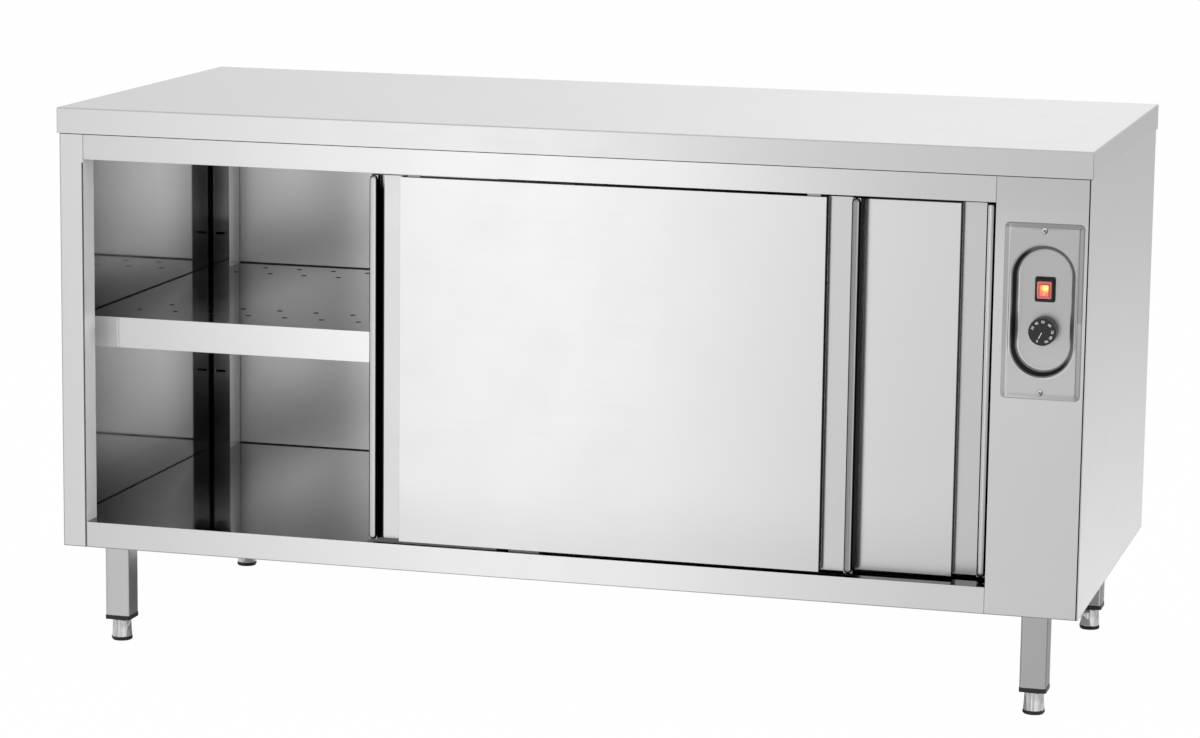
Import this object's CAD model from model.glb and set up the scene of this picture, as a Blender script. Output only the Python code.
import math
import bpy
import bmesh
from mathutils import Matrix, Vector


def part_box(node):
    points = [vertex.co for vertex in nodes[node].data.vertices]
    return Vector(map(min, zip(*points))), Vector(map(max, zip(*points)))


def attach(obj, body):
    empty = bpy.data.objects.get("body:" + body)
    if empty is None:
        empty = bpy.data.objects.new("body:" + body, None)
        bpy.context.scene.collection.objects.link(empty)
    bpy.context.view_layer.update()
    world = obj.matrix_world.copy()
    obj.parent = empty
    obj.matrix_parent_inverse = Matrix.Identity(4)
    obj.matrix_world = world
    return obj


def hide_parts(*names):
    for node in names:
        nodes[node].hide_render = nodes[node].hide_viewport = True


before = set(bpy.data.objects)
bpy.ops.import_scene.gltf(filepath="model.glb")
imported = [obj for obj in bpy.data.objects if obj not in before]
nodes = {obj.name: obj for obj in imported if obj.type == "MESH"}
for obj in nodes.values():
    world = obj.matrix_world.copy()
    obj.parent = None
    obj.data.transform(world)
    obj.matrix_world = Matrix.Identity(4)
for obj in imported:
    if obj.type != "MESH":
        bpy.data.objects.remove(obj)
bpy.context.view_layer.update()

# ---------------------------------------------------------------------------
# Camera: the photograph's viewpoint, from the right of the front and above.
# Its place was fitted to the corners of worktop, body, legs and feet.
# ---------------------------------------------------------------------------
scene = bpy.context.scene


def put(name, data):
    """Puts a new object into the scene."""
    made = bpy.data.objects.new(name, data)
    scene.collection.objects.link(made)
    return made


camera_data = bpy.data.cameras.new("camera")
camera_data.sensor_width = 36.0
camera_data.lens = 117.12
camera_data.clip_end = 60.0
camera = put("camera", camera_data)
bpy.context.scene.camera = camera
turn = Vector((0.17024935, 0.26896677, 0.03574842))
to_image = Matrix.Rotation(turn.length, 3, turn.normalized()) @ Matrix(((1, 0, 0), (0, 0, -1), (0, 1, 0)))
to_camera = Matrix(((1, 0, 0), (0, -1, 0), (0, 0, -1))) @ to_image
camera.matrix_world = Matrix.Translation((1.59552, -5.88837, 1.49601)) @ to_camera.transposed().to_4x4()

# ---------------------------------------------------------------------------
# Studio: a white floor and background, and broad soft lamps round the cabinet. What the bare
# metal mirrors is the world, which is lighter to some sides than to others, and two dark cards.
# ---------------------------------------------------------------------------
scene.view_settings.view_transform = "Standard"


class Value:
    """A shader socket that can be used in a Python expression."""

    def __init__(self, tree, socket):
        self.tree = tree
        self.socket = socket

    def _math(self, operation, first, second=None):
        node = self.tree.nodes.new("ShaderNodeMath")
        node.operation = operation
        for slot, value in enumerate((first, second)):
            if isinstance(value, Value):
                self.tree.links.new(value.socket, node.inputs[slot])
            elif value is not None:
                node.inputs[slot].default_value = value
        return Value(self.tree, node.outputs[0])

    def __add__(self, other):
        return self._math("ADD", self, other)

    def __radd__(self, other):
        return self._math("ADD", other, self)

    def __sub__(self, other):
        return self._math("SUBTRACT", self, other)

    def __rsub__(self, other):
        return self._math("SUBTRACT", other, self)

    def __mul__(self, other):
        return self._math("MULTIPLY", self, other)

    def __rmul__(self, other):
        return self._math("MULTIPLY", other, self)

    def __truediv__(self, other):
        return self._math("DIVIDE", self, other)

    def __pow__(self, other):
        return self._math("POWER", self, other)

    def __abs__(self):
        return self._math("ABSOLUTE", self)

    def above(self, edge):
        return self._math("GREATER_THAN", self, edge)

    def below(self, edge):
        return self._math("LESS_THAN", self, edge)

    def most(self, other):
        return self._math("MAXIMUM", self, other)

    def bearing(self, other):
        """The angle of the direction whose two parts are these."""
        return self._math("ARCTAN2", self, other)

    def ramp(self, low, high):
        """Rises softly from 0 to 1 between two values."""
        node = self.tree.nodes.new("ShaderNodeMapRange")
        node.interpolation_type = "SMOOTHSTEP"
        self.tree.links.new(self.socket, node.inputs["Value"])
        node.inputs["From Min"].default_value = low
        node.inputs["From Max"].default_value = high
        return Value(self.tree, node.outputs[0])


class Finish:
    """A material and the few calls that its recipe is written in."""

    def __init__(self, name, **constants):
        self.material = bpy.data.materials.new(name)
        self.material.use_nodes = True
        self.tree = self.material.node_tree
        self.shader = self.tree.nodes["Principled BSDF"]
        for socket, value in constants.items():
            self.shader.inputs[socket.replace("_", " ")].default_value = value
        self.place = self.node("ShaderNodeTexCoord")["Object"]

    def node(self, kind, settings=None, **inputs):
        """Adds a node, its settings first, and returns its outputs by name."""
        node = self.tree.nodes.new(kind)
        for setting, value in (settings or {}).items():
            setattr(node, setting, value)
        for name, value in inputs.items():
            socket = node.inputs[name.replace("_", " ")]
            if isinstance(value, Value):
                self.tree.links.new(value.socket, socket)
            else:
                socket.default_value = value
        return {output.name: Value(self.tree, output) for output in node.outputs}

    def split(self, vector):
        parts = self.node("ShaderNodeSeparateXYZ", Vector=vector)
        return parts["X"], parts["Y"], parts["Z"]

    def axes(self):
        """The place on the cabinet, in metres: to the right, to the back and up."""
        return self.split(self.place)

    def facing(self):
        """The direction that the surface faces, in the same three parts."""
        return self.split(self.node("ShaderNodeNewGeometry")["Normal"])

    def noise(self, scale, stretch=(1, 1, 1), detail=2.0, at=(0, 0, 0)):
        moved = self.node("ShaderNodeMapping", Vector=self.place, Scale=stretch, Location=at)["Vector"]
        return self.node("ShaderNodeTexNoise", Vector=moved, Scale=scale, Detail=detail, Roughness=0.55)["Fac"]

    def tint(self, mask, low, high):
        """A colour between two, by a mask."""
        node = self.tree.nodes.new("ShaderNodeMix")
        node.data_type = "RGBA"
        self.tree.links.new(mask.socket, node.inputs[0])
        for slot, colour in ((6, low), (7, high)):
            if isinstance(colour, Value):
                self.tree.links.new(colour.socket, node.inputs[slot])
            else:
                node.inputs[slot].default_value = (*colour, 1.0)
        return Value(self.tree, node.outputs[2])

    def relief(self, height, distance, strength=1.0, on=None):
        """A bump, on a rounded-edge normal where one is given."""
        inputs = {"Height": height, "Distance": distance, "Strength": strength}
        if on is not None:
            inputs["Normal"] = on
        return self.node("ShaderNodeBump", **inputs)["Normal"]

    def rounded(self, radius):
        return self.node("ShaderNodeBevel", {"samples": 4}, Radius=radius)["Normal"]

    def feed(self, **sockets):
        """Links values to the shader's sockets and returns the finished material."""
        for name, value in sockets.items():
            self.tree.links.new(value.socket, self.shader.inputs[name.replace("_", " ")])
        return self.material


def grey(level):
    return (level, level, level)


world = bpy.data.worlds.new("studio")
scene.world = world
world.use_nodes = True
sky = world.node_tree
sky.nodes.clear()


def sky_node(kind, **inputs):
    node = sky.nodes.new(kind)
    for name, value in inputs.items():
        socket = node.inputs[name.replace("_", " ")]
        if isinstance(value, bpy.types.NodeSocket):
            sky.links.new(value, socket)
        else:
            socket.default_value = value
    return node


# What the metal mirrors: a bright studio, brightest to the left of the front, given as brightness
# over the compass, from the back round by the left, the front and the right
SURROUND = [(0.0, 0.95), (0.03, 0.96), (0.065, 0.74), (0.16, 0.74), (0.30, 0.80), (0.40, 0.66), (0.434, 0.66),
            (0.447, 1.26), (0.457, 1.50), (0.466, 0.80), (0.485, 0.74), (0.52, 0.90), (0.545, 1.2), (0.60, 1.2),
            (0.75, 0.72), (0.92, 0.66), (0.985, 0.66), (1.0, 0.95)]
# and over the height, from straight down to straight up: behind the cabinet, before it to the
# left, and before it to the right
BEHIND = [(0.0, 1.4), (0.385, 1.44), (0.44, 0.83), (0.47, 0.80), (0.54, 1.0), (1.0, 1.0)]
BEFORE = [(0.0, 0.7), (0.38, 0.80), (0.44, 1.03), (0.5, 1.05), (0.6, 0.9), (1.0, 0.8)]
BESIDE = [(0.0, 0.5), (0.38, 0.60), (0.44, 0.98), (0.49, 0.95), (0.535, 0.74), (0.6, 0.72), (1.0, 0.7)]
rays = sky_node("ShaderNodeLightPath")
ways = sky_node("ShaderNodeSeparateXYZ", Vector=sky_node("ShaderNodeTexCoord").outputs["Generated"])
x_way = Value(sky, ways.outputs["X"])
y_way = Value(sky, ways.outputs["Y"])
z_way = Value(sky, ways.outputs["Z"])
compass = x_way.bearing(y_way * -1.0) / (2 * math.pi) + 0.5


def by_stops(place, levels):
    """Brightness read off a list of places and levels."""
    ramp = sky.nodes.new("ShaderNodeValToRGB")
    stops = ramp.color_ramp.elements
    for at, level in levels[1:-1]:
        stops.new(at)
    for stop, (at, level) in zip(sorted(stops, key=lambda each: each.position), levels):
        stop.position = at
        stop.color = (level, level, level, 1.0)
    sky.links.new(place.socket, ramp.inputs[0])
    return Value(sky, ramp.outputs["Color"])


height_part = z_way * 0.5 + 0.5
rear_half = y_way.ramp(-0.05, 0.05)
right_part = compass.ramp(0.50, 0.53)
before = by_stops(height_part, BESIDE) * right_part + by_stops(height_part, BEFORE) * (1.0 - right_part)
by_height = by_stops(height_part, BEHIND) * rear_half + before * (1.0 - rear_half)
level_seen = by_stops(compass, SURROUND) * by_height
mirrored = sky_node("ShaderNodeBackground", Color=(1, 1, 1, 1), Strength=level_seen.socket)
ambient = sky_node("ShaderNodeBackground", Color=(1, 1, 1, 1), Strength=0.55)
white = sky_node("ShaderNodeBackground", Color=(1, 1, 1, 1), Strength=1.0)


def sky_mix(share, first, second):
    mix = sky.nodes.new("ShaderNodeMixShader")
    sky.links.new(share, mix.inputs[0])
    sky.links.new(first.outputs[0], mix.inputs[1])
    sky.links.new(second.outputs[0], mix.inputs[2])
    return mix


shiny = Value(sky, rays.outputs["Is Glossy Ray"]).most(Value(sky, rays.outputs["Is Transmission Ray"]))
lit = sky_mix(shiny.socket, ambient, mirrored)
lit = sky_mix(rays.outputs["Is Camera Ray"], lit, white)
sky.links.new(lit.outputs[0], sky_node("ShaderNodeOutputWorld").inputs["Surface"])

floor_mesh = bpy.data.meshes.new("studio_floor")
floor_mesh.from_pydata([(-30, -30, 0), (30, -30, 0), (30, 30, 0), (-30, 30, 0)], [], [(0, 1, 2, 3)])
studio_floor = put("studio_floor", floor_mesh)
studio_floor.visible_glossy = False
floor_finish = Finish("floor_white", Roughness=1.0, Specular_IOR_Level=0.0)
floor_finish.feed(Base_Color=floor_finish.tint(floor_finish.noise(0.4), grey(0.86), grey(0.88)))
# seen directly the floor is the white background, with a trace of the cabinet's shadow
floor_tree = floor_finish.tree
seen = floor_finish.node("ShaderNodeLightPath")["Is Camera Ray"]
glow = floor_tree.nodes.new("ShaderNodeEmission")
glow.inputs["Strength"].default_value = 1.0
blend = floor_tree.nodes.new("ShaderNodeMixShader")
floor_tree.links.new((seen * 0.99).socket, blend.inputs[0])
floor_tree.links.new(floor_finish.shader.outputs[0], blend.inputs[1])
floor_tree.links.new(glow.outputs[0], blend.inputs[2])
floor_tree.links.new(blend.outputs[0], floor_tree.nodes["Material Output"].inputs["Surface"])
studio_floor.data.materials.append(floor_finish.material)


def card(name, low, high, level):
    """An upright or flat sheet that only the metal sees."""
    corners = [(low[0], low[1], low[2]), (high[0], low[1], low[2]),
               (high[0], high[1], high[2]), (low[0], high[1], high[2])]
    mesh = bpy.data.meshes.new(name)
    mesh.from_pydata(corners, [], [(0, 1, 2, 3)])
    made = put(name, mesh)
    for sight in ("camera", "diffuse", "transmission", "shadow", "volume_scatter"):
        setattr(made, "visible_" + sight, False)
    paper = Finish(name, Roughness=1.0, Specular_IOR_Level=0.0)
    paper.feed(Base_Color=paper.tint(paper.noise(3.0), grey(level), grey(level * 1.2)))
    mesh.materials.append(paper.material)


# a dark upright one before the cabinet, which the slotted posts mirror, and the shade under the
# cabinet, which the legs mirror
card("camera_dark", (1.43, -5.7, -1.3), (1.69, -5.7, 1.7), 0.01)
card("shade_below", (-0.76, -0.31, 0.001), (0.76, 0.31, 0.001), 0.75)


def lamp(name, size, power, at, towards):
    data = bpy.data.lights.new(name, "AREA")
    data.shape = "RECTANGLE"
    data.size, data.size_y = size
    data.energy = power
    made = put(name, data)
    made.location = at
    made.rotation_mode = "QUATERNION"
    made.rotation_quaternion = (Vector(towards) - Vector(at)).to_track_quat("-Z", "Y")
    made.visible_glossy = False
    return made


lamp("lamp_front_left", (3.0, 2.4), 90, (-3.4, -4.2, 3.0), (0, 0, 0.5))
lamp("lamp_above", (4.0, 3.0), 30, (0.3, 0.6, 4.2), (0, 0, 0))
lamp("lamp_right", (2.4, 2.0), 60, (4.4, -0.6, 2.0), (0.6, 0, 0.4))
# two pairs of small ones inside the cupboard, above and below the shelf
for z in (0.36, 0.64):
    lamp("lamp_inside", (0.10, 0.22), 1.9, (-0.05, 0.05, z), (-0.78, -0.28, z))
    lamp("lamp_behind", (0.10, 0.22), 0.8, (-0.60, 0.28, z), (-0.775, -0.34, z)).visible_camera = False

# ---------------------------------------------------------------------------
# Worktop: one sheet of satin stainless, its edges folded down, their corners mitred and welded.
# The grain runs along the cabinet. Three hat-shaped ribs are bonded under it.
# ---------------------------------------------------------------------------
ALONG_X = (6, 700, 700)
IN_THE_DARK = 0.012


def satin_sheet(name, level, rough, grain=ALONG_X, brushed=0.0, edge=0.0008, fine=0.000003,
                shade=None, matt=None, dull=None, grazing=1.0):
    """Stainless sheet. grain is the stretch of its lines; shade, matt and dull each take the finish
    and return a mask: of what lies in the dark, of what scatters light, and of what is rougher."""
    steel = Finish(name, Metallic=1.0, Anisotropic=brushed, Anisotropic_Rotation=0.25,
                   Specular_Tint=(grazing, grazing, grazing, 1.0))
    lines = steel.noise(1.0, grain, 3.0)
    broad = steel.noise(1.0, tuple(part * 0.25 for part in grain), 2.0, (5, 1, 8))
    cloud = steel.noise(2.2, (1, 1, 1), 3.0, (3, 7, 1))
    tone = steel.tint(lines * 0.3 + broad * 0.4 + cloud * 0.3, grey(level * 0.98), grey(level * 1.02))
    rubbed = steel.noise(9.0, (1, 1, 1), 4.0).ramp(0.35, 0.75)
    roughness = lines * 0.04 + cloud * 0.03 + rubbed * 0.02 + (rough - 0.045)
    if shade is not None:
        tone = steel.tint(shade(steel), tone, grey(IN_THE_DARK))
    if dull is not None:
        roughness = roughness + dull(steel)
    sockets = {"Base_Color": tone, "Roughness": roughness,
               "Normal": steel.relief(lines, fine, 0.6, steel.rounded(edge))}
    if matt is not None:
        sockets["Metallic"] = 1.0 - matt(steel) * 0.8
    return steel.feed(**sockets)


def dress(names, material):
    """Gives CAD nodes a finish."""
    for name in names:
        mesh = nodes[name].data
        mesh.materials.clear()
        mesh.materials.append(material)


def apron_shade(steel):
    """The front edge is a little darker to the right."""
    return (steel.facing()[1] * -1.0).ramp(0.5, 0.9) * steel.axes()[0].ramp(-0.1, 0.45) * 0.17


dress(["worktop"], satin_sheet("worktop_satin", 0.79, 0.22, shade=apron_shade))
mill_steel = satin_sheet("mill_steel", 0.5, 0.38)
dress(["worktop_ribs"], mill_steel)

# ---------------------------------------------------------------------------
# Front frame and right side: folded satin sheet, butted with a fine joint. A dark line of shade
# lies under the worktop's edge. The stile's return scatters the light more than its front.
# ---------------------------------------------------------------------------
UNDER_APRON = 0.8082
FRAME_FOOT = 0.1613
STILE_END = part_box("left_stile")[1].x
STILE_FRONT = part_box("left_stile")[0].y
OUTER_EDGE = -0.7966
COLUMN_END = 0.7945
TOP_RAIL_FOOT = 0.765
RAIL_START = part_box("bottom_rail")[0].x
RAIL_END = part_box("bottom_rail")[1].x


def below_apron(steel):
    return steel.axes()[2].above(UNDER_APRON)


def front_edges(steel):
    """Under the worktop, and at the lower edge of the frame."""
    return below_apron(steel).most(steel.axes()[2].below(FRAME_FOOT) * 0.5)


def stile_shade(steel):
    """A dark line where the front turns into the return, and a fainter one at the outer edge."""
    x, y, z = steel.axes()
    inner = x.above(STILE_END - 0.0022) * y.below(STILE_FRONT + 0.0013) * z.below(TOP_RAIL_FOOT) * 0.85
    return front_edges(steel).most(inner).most(x.below(OUTER_EDGE) * 0.4)


def return_faces(steel):
    """The stile's faces to the right and to the back."""
    facing = steel.facing()
    return facing[0].most(facing[1]).ramp(0.5, 0.9)


def column_shade(steel):
    """Under the worktop, along the joint with the side panel, and a little over the upper part."""
    x, y, z = steel.axes()
    return front_edges(steel).most(x.above(COLUMN_END)).most(z.ramp(0.66, 0.80) * 0.16)


def rail_shade(steel):
    """At the joints with stile and column, on the lower rail's upper flange, and to the upper right."""
    x, y, z = steel.axes()
    joints = x.above(RAIL_END - 0.0010).most(x.below(RAIL_START + 0.0010)) * 0.4
    upper_right = x.ramp(0.15, 0.6) * z.above(0.7) * 0.13
    flange = steel.facing()[2].ramp(0.5, 0.9) * z.below(0.3) * 0.9
    return front_edges(steel).most(upper_right).most(joints).most(flange)


dress(["right_side_panel"], satin_sheet("side_satin", 0.74, 0.26, brushed=0.7, shade=front_edges))
dress(["left_stile"], satin_sheet("stile_satin", 0.86, 0.26, brushed=0.7, shade=stile_shade, matt=return_faces))
dress(["top_rail", "bottom_rail"], satin_sheet("rail_satin", 0.80, 0.22, brushed=0.7, shade=rail_shade))
dress(["control_fascia"], satin_sheet("column_satin", 0.77, 0.24, brushed=0.7, shade=column_shade))

# ---------------------------------------------------------------------------
# Left side and back panel: bright annealed sheet, satin on the outside. Inside they mirror the
# cupboard, with a dark line where shelf and floor meet them. Blind rivets hold the back.
# ---------------------------------------------------------------------------
SHELF_TOP = 0.515
FLOOR_TOP = 0.200
SEAM = 0.0018
BACK_OUTSIDE = 0.345


def band(position, low, high):
    """A mask between two places on an axis."""
    return position.above(low) * position.below(high)


def outside(steel):
    """The two panels' outer faces, which look left and back."""
    facing = steel.facing()
    return (facing[0] * -1.0).most(facing[1]).ramp(0.5, 0.9)


def wall_seams(steel):
    """Inside at shelf and floor, outside under the worktop's edge."""
    z = steel.axes()[2]
    lines = band(z, SHELF_TOP, SHELF_TOP + SEAM).most(band(z, FLOOR_TOP, FLOOR_TOP + SEAM))
    return (lines * (1.0 - outside(steel))).most(below_apron(steel) * outside(steel))


def left_wall_shade(steel):
    """The seams, and more shade to the back of the cupboard and down to shelf and floor."""
    x, y, z = steel.axes()
    over_shelf = z.above(SHELF_TOP) * (1.0 - z.ramp(SHELF_TOP, SHELF_TOP + 0.07))
    over_floor = 1.0 - z.ramp(FLOOR_TOP, FLOOR_TOP + 0.09)
    to_back = y.ramp(-0.30, 0.05) * 0.14 + y.ramp(0.05, 0.28) * 0.52
    inside = to_back.most(over_shelf.most(over_floor) * 0.5) * (1.0 - outside(steel))
    return wall_seams(steel).most(inside).most(outside(steel) * 0.3)


def back_wall_shade(steel):
    return wall_seams(steel).most(outside(steel) * 0.08)


dress(["left_side_panel"], satin_sheet("wall_bright", 0.97, 0.065, fine=0.000001, shade=left_wall_shade,
                                       dull=lambda steel: outside(steel) * 0.17))
dress(["back_panel"], satin_sheet("wall_satin", 0.83, 0.30, fine=0.0000002, shade=back_wall_shade))


def new_piece(name, mesh, body, material):
    """A finished mesh becomes a piece of the cabinet."""
    mesh.materials.clear()
    mesh.materials.append(material)
    piece = put(name, mesh)
    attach(piece, body)
    return piece


def smoothed(mesh, degrees=35):
    """Shades a mesh smooth up to its sharp edges."""
    mesh.shade_smooth()
    mesh.set_sharp_from_angle(angle=math.radians(degrees))
    return mesh


def as_mesh(work, name):
    """The end of every mesh that is built face by face."""
    mesh = bpy.data.meshes.new(name)
    work.to_mesh(mesh)
    work.free()
    return mesh


def closed(work, gap=1e-7):
    """Merges seams and poles, and points the faces outwards."""
    bmesh.ops.remove_doubles(work, verts=work.verts, dist=gap)
    bmesh.ops.recalc_face_normals(work, faces=work.faces)
    return work


def turned(name, profile, segments):
    """Turns a profile of (radius, height) in millimetres about Z."""
    work = bmesh.new()
    rings = []
    for radius, height in profile:
        angles = [2 * math.pi * step / segments for step in range(segments if radius else 1)]
        rings.append([work.verts.new((radius * math.cos(angle) / 1000, radius * math.sin(angle) / 1000,
                                      height / 1000)) for angle in angles])
    for low, high in zip(rings, rings[1:]):
        for here in range(segments):
            there = (here + 1) % segments
            corners = [low[here % len(low)], low[there % len(low)],
                       high[there % len(high)], high[here % len(high)]]
            work.faces.new(list(dict.fromkeys(corners)))
    return smoothed(as_mesh(closed(work), name))


# a Geometry Nodes tree that puts a shape on every point, each turned and sized a little differently
repeat = bpy.data.node_groups.new("repeat_on_points", "GeometryNodeTree")
for socket, kind in (("Points", "Geometry"), ("Shape", "Object"), ("Turn", "Vector"), ("Uneven", "Float"),
                     ("Spin", "Float"), ("Seed", "Int"), ("Finish", "Material")):
    repeat.interface.new_socket(socket, in_out="INPUT", socket_type="NodeSocket" + kind)
repeat.interface.new_socket("Geometry", in_out="OUTPUT", socket_type="NodeSocketGeometry")


def repeat_node(kind, links=(), **settings):
    node = repeat.nodes.new(kind)
    for setting, value in settings.items():
        setattr(node, setting, value)
    for source, target in links:
        repeat.links.new(source, node.inputs[target])
    return node


given = repeat_node("NodeGroupInput").outputs
shape = repeat_node("GeometryNodeObjectInfo", [(given["Shape"], "Object")])
smallest = repeat_node("ShaderNodeMath", [(given["Uneven"], 1)], operation="SUBTRACT")
smallest.inputs[0].default_value = 1.0
largest = repeat_node("ShaderNodeMath", [(given["Uneven"], 1)], operation="ADD")
largest.inputs[0].default_value = 1.0
size = repeat_node("FunctionNodeRandomValue", [(smallest.outputs[0], 2), (largest.outputs[0], 3),
                                               (given["Seed"], "Seed")])
angle = repeat_node("FunctionNodeRandomValue", [(given["Spin"], 3), (given["Seed"], "Seed")])
angle.inputs[2].default_value = 0.0
spun = repeat_node("FunctionNodeAxisAngleToRotation", [(angle.outputs[1], "Angle")])
upright = repeat_node("FunctionNodeEulerToRotation", [(given["Turn"], 0)])
both = repeat_node("FunctionNodeRotateRotation", [(upright.outputs[0], 0), (spun.outputs[0], 1)],
                   rotation_space="LOCAL")
placed_shapes = repeat_node("GeometryNodeInstanceOnPoints", [
    (given["Points"], "Points"), (shape.outputs["Geometry"], "Instance"), (both.outputs[0], "Rotation"),
    (size.outputs[1], "Scale")])
real = repeat_node("GeometryNodeRealizeInstances", [(placed_shapes.outputs[0], 0)])
painted = repeat_node("GeometryNodeSetMaterial", [(real.outputs[0], 0), (given["Finish"], "Material")])
repeat_node("NodeGroupOutput", [(painted.outputs[0], 0)])


def repeated(name, points, one, finish, turn=(0, 0, 0), uneven=0.0):
    """One mesh, repeated on every point by the tree above, as a plain mesh."""
    base = bpy.data.meshes.new(name)
    base.from_pydata([tuple(point) for point in points], [], [])
    carrier = put(name + "_points", base)
    model = put(name + "_shape", one)
    modifier = carrier.modifiers.new("repeat", "NODES")
    modifier.node_group = repeat
    values = {"Shape": model, "Turn": turn, "Uneven": uneven, "Spin": 2 * math.pi, "Seed": 7, "Finish": finish}
    for socket in repeat.interface.items_tree:
        if socket.in_out == "INPUT" and socket.name in values:
            modifier[socket.identifier] = values[socket.name]
    sight = bpy.context.evaluated_depsgraph_get()
    mesh = bpy.data.meshes.new_from_object(carrier.evaluated_get(sight), depsgraph=sight)
    for helper in (carrier, model):
        bpy.data.objects.remove(helper)
    mesh.name = name
    return mesh


rivet_steel = satin_sheet("rivet_steel", 0.55, 0.3)
rivet_head = turned("rivet_head", [(0, -0.2), (3.2, -0.2), (3.25, 0.1), (3.0, 0.6), (2.2, 1.0), (1.4, 1.1),
                                   (1.15, 1.0), (1.05, 0.2), (0.6, 0.1), (0, 0.3)], 24)
RIVET_ROWS = (0.172, 0.798)
RIVET_SIDE = 0.7885
rivet_spots = [(-0.74 + 0.185 * step, BACK_OUTSIDE, z) for step in range(9) for z in RIVET_ROWS]
rivet_spots += [(side * RIVET_SIDE, BACK_OUTSIDE, 0.215 + 0.135 * step) for side in (-1, 1) for step in range(5)]
new_piece("back_rivets", repeated("back_rivets", rivet_spots, rivet_head, rivet_steel, (-math.pi / 2, 0, 0)),
          "cabinet", rivet_steel)

# ---------------------------------------------------------------------------
# Inside: floor pan, partition, slotted posts, shelf and its rails, all of bright annealed sheet.
# It mirrors whatever stands before it, and the narrow gaps at its edges are dark.
# ---------------------------------------------------------------------------
ALONG_Z = (700, 700, 6)
LEFT_WALL = -0.797
BACK_WALL = 0.343
DOOR_ROOM = -0.24
SHELF_END = -0.735


def rightward(steel):
    return steel.facing()[0].ramp(0.5, 0.9)


def frontward(steel):
    return (steel.facing()[1] * -1.0).ramp(0.5, 0.9)


def upward(steel):
    return steel.facing()[2].ramp(0.5, 0.9)


def corner_shade(x):
    """Shelf and floor lie in shade near the left wall."""
    return 1.0 - x.ramp(-0.72, -0.54)


def floor_shade(steel):
    """The gaps to left wall and back, the corner, and the strip under the doors."""
    x, y, z = steel.axes()
    gaps = x.below(LEFT_WALL + 0.0018).most(y.above(BACK_WALL - 0.0018))
    return gaps.most(corner_shade(x) * 0.93 * upward(steel)).most(x.above(-0.30) * y.below(DOOR_ROOM) * 0.9)


def post_shade(steel):
    """The left post's corners with wall and back, its lower part, and all faces to the right."""
    x, y, z = steel.axes()
    to_wall = band(x, -0.80, LEFT_WALL + 0.0048)
    to_back = band(y, BACK_WALL - 0.0017, BACK_WALL + 0.002) * x.above(-0.80)
    low = (1.0 - z.ramp(0.26, 0.44)) * (1.0 - rightward(steel)) * 0.52
    return to_wall.most(to_back).most(low).most(rightward(steel) * 0.28)


def shelf_shade(steel):
    """On its upper face the gaps to left wall and back, and the corner."""
    x, y, z = steel.axes()
    gaps = x.below(LEFT_WALL + 0.0028).most(y.above(BACK_WALL - 0.0025))
    return upward(steel) * gaps.most(corner_shade(x) * 0.81 + 0.12)


def shelf_matt(steel):
    """The folded front edge scatters light at its left end."""
    return frontward(steel) * steel.axes()[0].below(SHELF_END)


dress(["base_deck"], satin_sheet("floor_bright", 0.52, 0.07, fine=0.000001, shade=floor_shade))
dress(["corner_posts"], satin_sheet("post_bright", 0.46, 0.06, ALONG_Z, fine=0.000001, shade=post_shade,
                                    matt=rightward))
dress(["partition_panel", "shelf_rails"], satin_sheet("inner_bright", 0.55, 0.09, fine=0.000001, matt=frontward))
dress(["shelf"], satin_sheet("shelf_bright", 0.76, 0.08, fine=0.000001, shade=shelf_shade, matt=shelf_matt,
                             grazing=0.8))

# the perforations' pressed rims, in the four rows of the shelf
punched = satin_sheet("punched_edge", 0.035, 0.35)
rim = turned("rim", [(3.85, -0.9), (3.8, 0.05), (4.0, 0.25), (4.4, 0.28), (4.8, 0.1), (4.9, 0.0), (4.1, -0.02),
                     (4.0, -0.9), (3.85, -0.9)], 24)
HOLE_PITCH = 0.061
FIRST_HOLE, LAST_HOLE = -0.730, 0.609
rim_spots = []
for row, y in enumerate((-0.192, -0.131, 0.237, 0.298)):
    x = FIRST_HOLE + (HOLE_PITCH / 2 if row % 2 else 0)
    while x <= LAST_HOLE:
        rim_spots.append((x, y, SHELF_TOP))
        x += HOLE_PITCH
new_piece("shelf_hole_rims", repeated("shelf_hole_rims", rim_spots, rim, punched), "cabinet", punched)

# ---------------------------------------------------------------------------
# Door track, its nylon floor guide and the doors' running gear. The track and hangers keep the
# mill's dull finish; the rollers turn on riveted axles.
# ---------------------------------------------------------------------------
def moulded(name, colour, rough):
    """Plastic, ceramic or paint: finely grained, and paler and duller where it is scuffed."""
    plastic = Finish(name)
    grain = plastic.noise(900.0, (1, 1, 1), 2.0)
    scuffs = plastic.noise(60.0, (1, 1, 1), 4.0, (2, 5, 9)).ramp(0.5, 0.8)
    tone = plastic.tint(scuffs, colour, tuple(min(1.0, part * 1.35 + 0.004) for part in colour))
    roughness = grain * 0.1 + scuffs * 0.12 + (rough - 0.05)
    normal = plastic.relief(grain, 0.00004, 0.5, plastic.rounded(0.0006))
    return plastic.feed(Base_Color=tone, Roughness=roughness, Normal=normal)


dress(["door_track", "front_door_hangers", "rear_door_hangers"], mill_steel)
nylon = moulded("nylon", (0.72, 0.70, 0.64), 0.45)
dress(["door_floor_guide", "front_roller_left", "front_roller_right", "rear_roller_left", "rear_roller_right"],
      nylon)

# ---------------------------------------------------------------------------
# Doors: a satin skin folded round a finger recess and a rounded lip at either edge, with a
# pressed liner behind. The recess's inner corners and the sides that face right lie in the dark.
# ---------------------------------------------------------------------------
LIP = 0.013
RECESS_DEPTH = 0.012
DOOR_W = 0.756
FRAME_FRONT = -0.347
RAIL_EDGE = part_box("top_rail")[0].z


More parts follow.
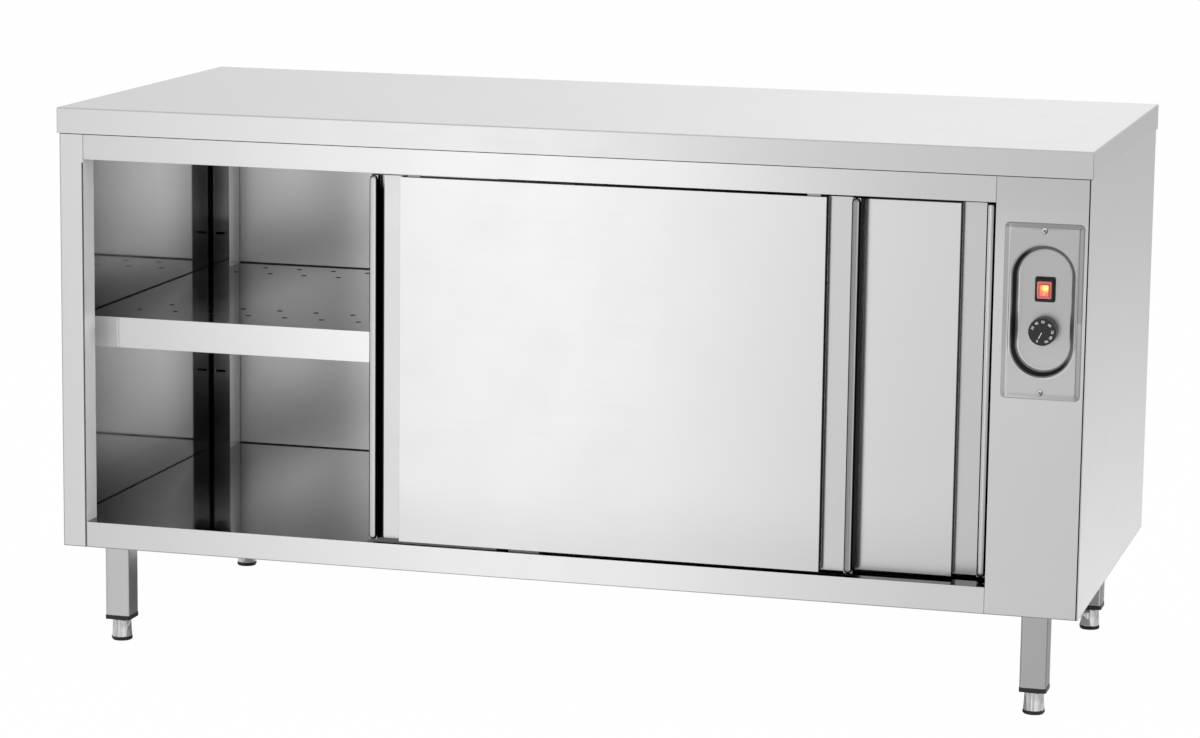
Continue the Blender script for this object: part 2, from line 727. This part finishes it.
def door_satin(name, left, face, lip_shade):
    """left and face are the places of the door's left edge and of its front."""
    # the rail's shadow falls lower on the door that hangs farther back
    shadow_edge = RAIL_EDGE - (face - FRAME_FRONT) * 0.14

    def shade(steel):
        x, y, z = steel.axes()
        inward = y - face
        from_left = x - left
        right_faces = steel.facing()[0].ramp(0.4, 0.8) * inward.above(0.0015)
        recess_floor = inward.above(RECESS_DEPTH) * frontward(steel)
        corner = recess_floor * (1.0 - from_left.ramp(LIP + 0.0055, LIP + 0.0078)) * from_left.above(LIP - 0.001)
        upper_end = z.ramp(0.742, 0.762) * 0.5
        right_lip = band(from_left, DOOR_W - LIP, DOOR_W - 0.003) * inward.below(0.006) * lip_shade
        rail_shadow = z.ramp(shadow_edge - 0.0034, shadow_edge - 0.0022)
        foot = (1.0 - z.ramp(0.20, 0.32)) * 0.1
        recess = right_faces.most(corner * (1.0 - upper_end)).most(recess_floor * 0.13)
        return recess.most(right_lip).most(rail_shadow).most(foot)

    return satin_sheet(name, 0.80, 0.22, brushed=0.7, shade=shade, grazing=0.3)


dress(["front_door_skin"], door_satin("front_door_satin", -0.297, -0.341, 0.55))
dress(["rear_door_skin"], door_satin("rear_door_satin", -0.104, -0.305, 0.0))
dress(["front_door_liner", "rear_door_liner"], satin_sheet("liner_satin", 0.7, 0.25))

# ---------------------------------------------------------------------------
# Legs: square stainless tube welded into channels under the floor pan, closed below by plastic
# plugs. A row of weld beads runs along the channel on either side of each leg.
# ---------------------------------------------------------------------------
LEG_X = 0.728
LEG_Y = 0.28


def leg_shade(steel):
    """The two right legs are darker than the left ones, most of all on their right sides."""
    right_leg = steel.axes()[0].above(0.5)
    return right_leg * (rightward(steel) * 0.42 + 0.2)


dress(["base_beams"], mill_steel)
dress(["leg_front_left", "leg_front_right", "leg_back_left", "leg_back_right"],
      satin_sheet("leg_satin", 0.67, 0.2, ALONG_Z, shade=leg_shade, grazing=0.6))
black_plastic = moulded("black_plastic", (0.012, 0.012, 0.013), 0.42)
dress(["leg_plugs"], black_plastic)
bead = turned("bead", [(0, -1.5), (1.6, -1.1), (2.1, -0.2), (1.8, 0.6), (1.0, 1.1), (0, 1.3)], 12)
weld_steel = satin_sheet("weld_steel", 0.32, 0.35)
BEAD_OUT = 0.0202
BEAD_HEIGHT = 0.1618
bead_spots = [(side_x * LEG_X + edge * BEAD_OUT, side_y * LEG_Y - 0.015 + 0.0025 * step, BEAD_HEIGHT)
              for side_x in (-1, 1) for side_y in (-1, 1) for edge in (-1, 1) for step in range(13)]
new_piece("leg_welds", repeated("leg_welds", bead_spots, bead, weld_steel, uneven=0.15),
          "cabinet", weld_steel)

# ---------------------------------------------------------------------------
# Feet: a bright turned sleeve on a threaded spindle, over a hexagonal plastic base. The thread
# shows when a foot is screwed out.
# ---------------------------------------------------------------------------
turned_steel = satin_sheet("turned_steel", 0.64, 0.14, (4, 4, 1500))
THREAD_PITCH = 1.5
STEM_SIDES = 24


def stem_mesh(name, x, y):
    """The sleeve and its spindle: rings of (radius, height) from the sleeve's inside up, then the
    thread's helix."""
    rings = [(0, 33.4), (13.1, 33.4), (14.0, 20), (14.9, 6), (16, 6), (15.4, 15), (14.3, 34.3), (14.0, 34.8),
             (13.6, 35), (4.4, 35)]
    rows = [[ring] * STEM_SIDES for ring in rings]
    height = 35.4
    while height < 109:
        rows.append([(4.38 + 0.55 * abs(2 * ((height / THREAD_PITCH - side / STEM_SIDES) % 1) - 1), height)
                     for side in range(STEM_SIDES)])
        height += THREAD_PITCH / 5
    rows += [[(4.2, 109.2)] * STEM_SIDES, [(3.6, 110)] * STEM_SIDES, [(0, 110)] * STEM_SIDES]
    work = bmesh.new()
    made = []
    for row in rows:
        made.append([work.verts.new((x + radius / 1000 * math.cos(2 * math.pi * side / STEM_SIDES),
                                     y + radius / 1000 * math.sin(2 * math.pi * side / STEM_SIDES), up / 1000))
                     for side, (radius, up) in enumerate(row)])
    for low, high in zip(made, made[1:]):
        for here in range(STEM_SIDES):
            there = (here + 1) % STEM_SIDES
            work.faces.new((low[here], low[there], high[there], high[here]))
    return smoothed(as_mesh(closed(work), name))


for row_name, y in (("front", -LEG_Y), ("back", LEG_Y)):
    for side_name, x in (("left", -LEG_X), ("right", LEG_X)):
        corner = row_name + "_" + side_name
        stem = new_piece("stem_" + corner, stem_mesh("stem_" + corner, x, y),
                         "foot_" + corner, turned_steel)
        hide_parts("foot_stem_" + corner)
        dress(["foot_base_" + corner], black_plastic)

# ---------------------------------------------------------------------------
# Control plate: pressed from one sheet, with rolled edges and a drawn slot-shaped recess whose
# shoulder and foot are rounded. Two domed cross-recess screws hold it.
# ---------------------------------------------------------------------------
PLATE = Vector((0.732, -0.3475, 0.614))
PLATE_HALF = (0.058, 0.129)
MOUTH_HALF = (0.049, 0.099)
BORDER_FROM = (0.0492, 0.1196)
KNOB_SHADE = (0.7342, 0.5862)


def ring_of(work, points, depth):
    """Corners round an outline, at a depth behind the plate's front."""
    return [work.verts.new(PLATE + Vector((x, depth, z))) for x, z in points]


def slot_points(half_w, half_h):
    """Round a slot with half-round ends."""
    straight = half_h - half_w
    points = []
    for step in range(82):
        angle = math.pi * (step if step < 41 else step - 1) / 40
        points.append((half_w * math.cos(angle), half_w * math.sin(angle) + (straight if step < 41 else -straight)))
    return points


def plate_points(half_w, half_h, radius):
    """Round a rectangle with rounded corners."""
    points = []
    for corner, (side_x, side_z) in enumerate(((1, 1), (-1, 1), (-1, -1), (1, -1))):
        for step in range(7):
            angle = math.pi / 2 * (corner + step / 6)
            points.append((side_x * (half_w - radius) + radius * math.cos(angle),
                           side_z * (half_h - radius) + radius * math.sin(angle)))
    return points


def circle_points(radius, centre):
    angles = [2 * math.pi * step / 20 for step in range(20)]
    return [(radius * math.cos(angle), centre + radius * math.sin(angle)) for angle in angles]


def join(work, rings):
    """Walls between outlines that follow each other."""
    for first, second in zip(rings, rings[1:]):
        for here in range(len(first)):
            there = (here + 1) % len(first)
            work.faces.new((first[here], first[there], second[there], second[here]))


def fill_between(work, *rings):
    """A flat face inside the first outline, less the others."""
    edges = []
    for ring in rings:
        for here, corner in enumerate(ring):
            pair = (corner, ring[(here + 1) % len(ring)])
            edges.append(work.edges.get(pair) or work.edges.new(pair))
    bmesh.ops.triangle_fill(work, edges=edges, use_beauty=True)


# lists of (inset, depth) in millimetres: the rolled edge, and the drawn recess from mouth to floor
EDGE = [(0, 2.5), (0.2, 1.9), (0.6, 1.45), (1.2, 1.15), (5.8, 0.3), (6.8, 0.1), (7.8, 0.02), (8.2, 0.0), (8.8, 0.0)]
MOUTH = [(-0.5, 0)]
SHOULDER_R = 3.4
SHOULDER = [(SHOULDER_R * math.sin(math.radians(step)), SHOULDER_R * (1 - math.cos(math.radians(step))))
            for step in range(0, 74, 12)]
WALL = [(4.6, 6.5), (8.6, 20.2)]
FOOT = [(9.0, 21.4), (9.7, 22.6), (10.7, 23.5), (12.0, 24.0), (12.5, 24.0)]
RECESS_FLOOR = 0.024
SCREW_UP = 0.1185
work = bmesh.new()
border = [ring_of(work, plate_points(PLATE_HALF[0] - inset / 1000, PLATE_HALF[1] - inset / 1000,
                                     0.0075 - inset / 2000), depth / 1000) for inset, depth in EDGE]
join(work, border)
drawn = [ring_of(work, slot_points(MOUTH_HALF[0] - inset / 1000, MOUTH_HALF[1] - inset / 1000), depth / 1000)
         for inset, depth in MOUTH + SHOULDER + WALL + FOOT]
join(work, drawn)
screw_holes = [ring_of(work, circle_points(0.0023, side * SCREW_UP), 0) for side in (-1, 1)]
fill_between(work, border[-1], drawn[0], *screw_holes)
switch_hole = ring_of(work, [(-0.0124, 0.0147), (0.0124, 0.0147), (0.0124, 0.0453), (-0.0124, 0.0453)],
                      RECESS_FLOOR)
bush_hole = ring_of(work, circle_points(0.0052, -0.030), RECESS_FLOOR)
fill_between(work, drawn[-1], switch_hole, bush_hole)
bmesh.ops.recalc_face_normals(work, faces=work.faces)
largest_face = max(work.faces, key=lambda face: face.calc_area())
if largest_face.normal.y > 0:
    bmesh.ops.reverse_faces(work, faces=work.faces)
thin = put("plate_shell", as_mesh(work, "plate_shell"))
thickness = thin.modifiers.new("thickness", "SOLIDIFY")
thickness.thickness = 0.001
thickness.offset = -1.0
sight = bpy.context.evaluated_depsgraph_get()
plate_mesh = bpy.data.meshes.new_from_object(thin.evaluated_get(sight), depsgraph=sight)
bpy.data.objects.remove(thin)


def plate_shade(steel):
    """The recess's left and lower walls, the soft shade beside the knob, and the border's slopes."""
    x, y, z = steel.axes()
    to_right, to_front, to_top = steel.facing()
    depth = y - PLATE.y
    half_way = depth.ramp(0.001, 0.0065) * (1.0 - depth.ramp(0.0155, 0.0232))
    walls = half_way * to_right.most(to_top).ramp(0.1, 0.7) * 0.93
    off_knob = ((x - KNOB_SHADE[0]) ** 2.0 + (z - KNOB_SHADE[1]) ** 2.0) ** 0.5
    by_knob = (1.0 - off_knob.ramp(0.0175, 0.0245)) * 0.5 * depth.above(0.02)
    border = abs(x - PLATE.x).above(BORDER_FROM[0]).most(abs(z - PLATE.z).above(BORDER_FROM[1]))
    slopes = (to_right.ramp(0.04, 0.15) * 0.26).most(to_top.ramp(0.04, 0.15) * 0.2)
    edge = border * (slopes + 0.4) - z.below(0.60) * 0.1
    light_foot = depth.ramp(0.0219, 0.0227) * (1.0 - depth.ramp(0.0235, 0.0239))
    flat = (1.0 - light_foot) * (z.ramp(0.50, 0.62) * 0.12 + 0.28)
    return walls.most(by_knob).most(edge).most(flat)


def plate_dull(steel):
    """The drawn recess is duller than the flat, and its walls are the dullest."""
    depth = steel.axes()[1] - PLATE.y
    return band(depth, 0.001, 0.026) * 0.18 + band(depth, 0.003, 0.0228) * 0.17


plate_satin = satin_sheet("plate_satin", 0.94, 0.15, edge=0.0002, grazing=0.3, shade=plate_shade, dull=plate_dull)
control_plate = new_piece("pressed_plate", smoothed(plate_mesh, 50), "cabinet", plate_satin)
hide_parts("control_plate")


def screw_shade(steel):
    """Round each head, inside its cross, and on the half of the dome that faces right."""
    x, y, z = steel.axes()
    right_by = x - PLATE.x
    above_by = abs(z - PLATE.z) - SCREW_UP
    from_middle = (right_by ** 2.0 + above_by ** 2.0) ** 0.5
    lower_side = (steel.facing()[0] - steel.facing()[2] * 0.5).ramp(0.12, 0.35) * 0.8
    falling, rising = abs(right_by + above_by), abs(right_by - above_by)
    cross = (falling.below(0.0008) * rising.below(0.0040)).most(rising.below(0.0008) * falling.below(0.0040))
    return from_middle.ramp(0.0040, 0.0047).most(lower_side).most(cross * 0.85)


dress(["plate_screws"], satin_sheet("screw_bright", 0.97, 0.1, edge=0.0003, shade=screw_shade))

# ---------------------------------------------------------------------------
# Switch housing: a black moulded frame that carries the rocker and its contacts. It snaps into
# the square hole in the recess's floor.
# ---------------------------------------------------------------------------
dress(["switch_housing"], black_plastic)

# ---------------------------------------------------------------------------
# Rocker: a red translucent cover, lit from inside, with a clear lens set in its middle and a
# small white bar. It is moulded in one piece and snaps into the housing on two pins.
# ---------------------------------------------------------------------------
ROCKER_PIVOT = Vector((0.732, -0.3275, 0.644))
ROCKER_SHIFT = Vector((-0.0004, 0, -0.0003))
ROCKER_TILT = Matrix.Rotation(math.radians(6), 4, "X")
COVER_HALF = 0.0106
COVER_FRONT = [(-0.0046, -0.0129), (-0.0060, -0.0062), (-0.0066, 0.0), (-0.0060, 0.0062), (-0.0046, 0.0129)]
LENS_HALF = 0.0064
LAMP_AT = (0.7345, 0.6480)
LENS_FRONT = [(-0.0064, -0.0082), (-0.0071, -0.0042), (-0.0073, 0.0), (-0.0071, 0.0042), (-0.0064, 0.0082)]
MARK_OUTLINE = [(-0.0060, -0.0072), (-0.0070, -0.0072), (-0.0077, -0.0032), (-0.0060, -0.0032)]


def softened(name, build, width, segments=3):
    """A mesh from bmesh code, its edges rounded and shaded smooth."""
    work = bmesh.new()
    build(work)
    bmesh.ops.recalc_face_normals(work, faces=work.faces)
    bmesh.ops.bevel(work, geom=[edge for edge in work.edges if edge.calc_face_angle(0) > 0.5], offset=width,
                    segments=segments, profile=0.5, affect="EDGES", clamp_overlap=True)
    for face in work.faces:
        face.smooth = True
    return as_mesh(work, name)


def prism(work, outline, low, high):
    """Extrudes an outline in Y and Z along X."""
    near = [work.verts.new((low, y, z)) for y, z in outline]
    far = [work.verts.new((high, y, z)) for y, z in outline]
    work.faces.new(near)
    work.faces.new(far[::-1])
    for here in range(len(outline)):
        there = (here + 1) % len(outline)
        work.faces.new((near[here], far[here], far[there], near[there]))


def on_rocker(name, outline, half, rounding, shift, segments, material):
    """A rounded bar of the outline given in Y and Z, tilted with the rocker."""
    mesh = softened(name, lambda work: prism(work, outline, -half, half), rounding, segments)
    mesh.transform(Matrix.Translation(ROCKER_PIVOT + shift) @ ROCKER_TILT)
    return new_piece(name, mesh, "rocker", material)


red_cover = Finish("rocker_red", Roughness=0.22, Coat_Weight=0.5, Emission_Strength=0.22)
x_at, y_at, z_at = red_cover.axes()
near_rim = (abs(x_at - ROCKER_PIVOT.x) * 1.2).most(abs(z_at - ROCKER_PIVOT.z)).ramp(0.0085, 0.0118)
red_cover.feed(Base_Color=red_cover.tint(near_rim, (0.46, 0.03, 0.028), (0.60, 0.24, 0.23)),
               Emission_Color=red_cover.tint(near_rim, (0.9, 0.09, 0.06), (0.62, 0.20, 0.18)),
               Normal=red_cover.relief(red_cover.noise(700.0), 0.00002, 0.4))
rocker_cover = on_rocker("rocker_cover", [(0.003, -0.0129)] + COVER_FRONT + [(0.003, 0.0129)], COVER_HALF, 0.0016,
                         ROCKER_SHIFT, 3, red_cover.material)
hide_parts("rocker")

lens = Finish("rocker_lens", Roughness=0.12, Coat_Weight=0.6, Emission_Strength=1.0)
x_at, y_at, z_at = lens.axes()
lamp_near = ((x_at - LAMP_AT[0]) ** 2.0 + (z_at - LAMP_AT[1]) ** 2.0) ** 0.5
warmth = lamp_near.ramp(0.0015, 0.0105) + (lens.noise(420.0) - 0.5) * 0.35
glow_near = lens.tint(warmth.ramp(0.0, 0.45), (1.0, 0.86, 0.20), (1.0, 0.30, 0.06))
lens.feed(Base_Color=lens.tint(warmth, (0.9, 0.5, 0.1), (0.75, 0.08, 0.05)),
          Emission_Color=lens.tint(warmth.ramp(0.45, 1.0), glow_near, (0.76, 0.15, 0.115)))
on_rocker("rocker_lens", [(-0.004, -0.0082)] + LENS_FRONT + [(-0.004, 0.0082)], LENS_HALF, 0.0007,
          ROCKER_SHIFT, 3, lens.material)

white_ink = moulded("white_ink", (0.82, 0.82, 0.80), 0.5)
on_rocker("rocker_mark", MARK_OUTLINE, 0.0008, 0.0001, Vector((0, 0, 0)), 1, white_ink)

# ---------------------------------------------------------------------------
# Knob: moulded black plastic, pushed on the thermostat's shaft. Figures and a pointer line are
# printed in white on its flat face.
# ---------------------------------------------------------------------------
dress(["control_knob"], moulded("knob_plastic", (0.014, 0.014, 0.015), 0.36))
KNOB_FACE = Vector((0.732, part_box("control_knob")[0].y, 0.584))
FIGURES = {"0": 206, "30": 291, "40": 326, "50": 4, "60": 46, "70": 87, "80": 121, "90": 153}
FIGURE_RING = 0.0148
INK = 0.0001
printed = bmesh.new()
for figure, clockwise in FIGURES.items():
    letters = bpy.data.curves.new("figure", "FONT")
    letters.body = figure
    letters.size = 0.0052
    letters.align_x = "CENTER"
    letters.align_y = "CENTER"
    letters.offset = 0.00012
    letters.extrude = INK
    letters.resolution_u = 3
    text = bpy.data.objects.new("figure", letters)
    mesh = bpy.data.meshes.new_from_object(text)
    angle = math.radians(clockwise)
    spot = KNOB_FACE + Vector((math.sin(angle), 0, math.cos(angle))) * FIGURE_RING
    stood_up = Matrix.Rotation(math.radians(90), 4, "X")
    mesh.transform(Matrix.Translation(spot) @ Matrix.Rotation(angle, 4, "Y") @ stood_up)
    printed.from_mesh(mesh)
    bpy.data.objects.remove(text)
pointer_angle = math.radians(FIGURES["0"])
along = Vector((math.sin(pointer_angle), 0, math.cos(pointer_angle)))
across = Vector((along.z, 0, -along.x)) * 0.0007
corners = [KNOB_FACE + along * reach + across * side + Vector((0, -INK, 0))
           for reach, side in ((0.0008, 1), (0.0008, -1), (0.0112, -1), (0.0112, 1))]
front = [printed.verts.new(corner) for corner in corners]
back = [printed.verts.new(corner + Vector((0, 2 * INK, 0))) for corner in corners]
printed.faces.new(front)
printed.faces.new(back[::-1])
for here in range(4):
    printed.faces.new((front[here], back[here], back[(here + 1) % 4], front[(here + 1) % 4]))
new_piece("knob_figures", as_mesh(closed(printed, 1e-6), "knob_figures"), "knob", white_ink)

# ---------------------------------------------------------------------------
# Thermostat: a zinc-plated body behind the plate, whose turned shaft passes through it to the
# knob. A copper bulb on its capillary tube lies in the warm air of the cupboard.
# ---------------------------------------------------------------------------
dress(["thermostat_shaft"], turned_steel)
dress(["thermostat_body"], satin_sheet("zinc", 0.45, 0.4))
copper = Finish("copper", Metallic=1.0)
dress(["thermostat_bulb"], copper.feed(
    Base_Color=copper.tint(copper.noise(300.0), (0.58, 0.28, 0.16), (0.70, 0.38, 0.24)),
    Roughness=copper.noise(150.0) * 0.2 + 0.2))

# ---------------------------------------------------------------------------
# Fan heater: a folded casing screwed behind the partition, with a sheathed ring element round
# the fan wheel. The painted motor hangs on a bracket, and the wheel sits on its shaft.
# ---------------------------------------------------------------------------
dress(["fan_casing", "motor_bracket", "fan_wheel"], mill_steel)
dress(["fan_shaft"], turned_steel)
dress(["heater_element"], satin_sheet("sheath", 0.14, 0.5))
dress(["fan_motor"], moulded("motor_paint", (0.08, 0.085, 0.09), 0.4))

# ---------------------------------------------------------------------------
# Supply: a ceramic terminal block on the floor of the control compartment, and a plastic gland
# in the floor pan, where the cord comes in.
# ---------------------------------------------------------------------------
dress(["terminal_block"], moulded("ceramic", (0.78, 0.77, 0.73), 0.25))
dress(["cable_gland"], black_plastic)
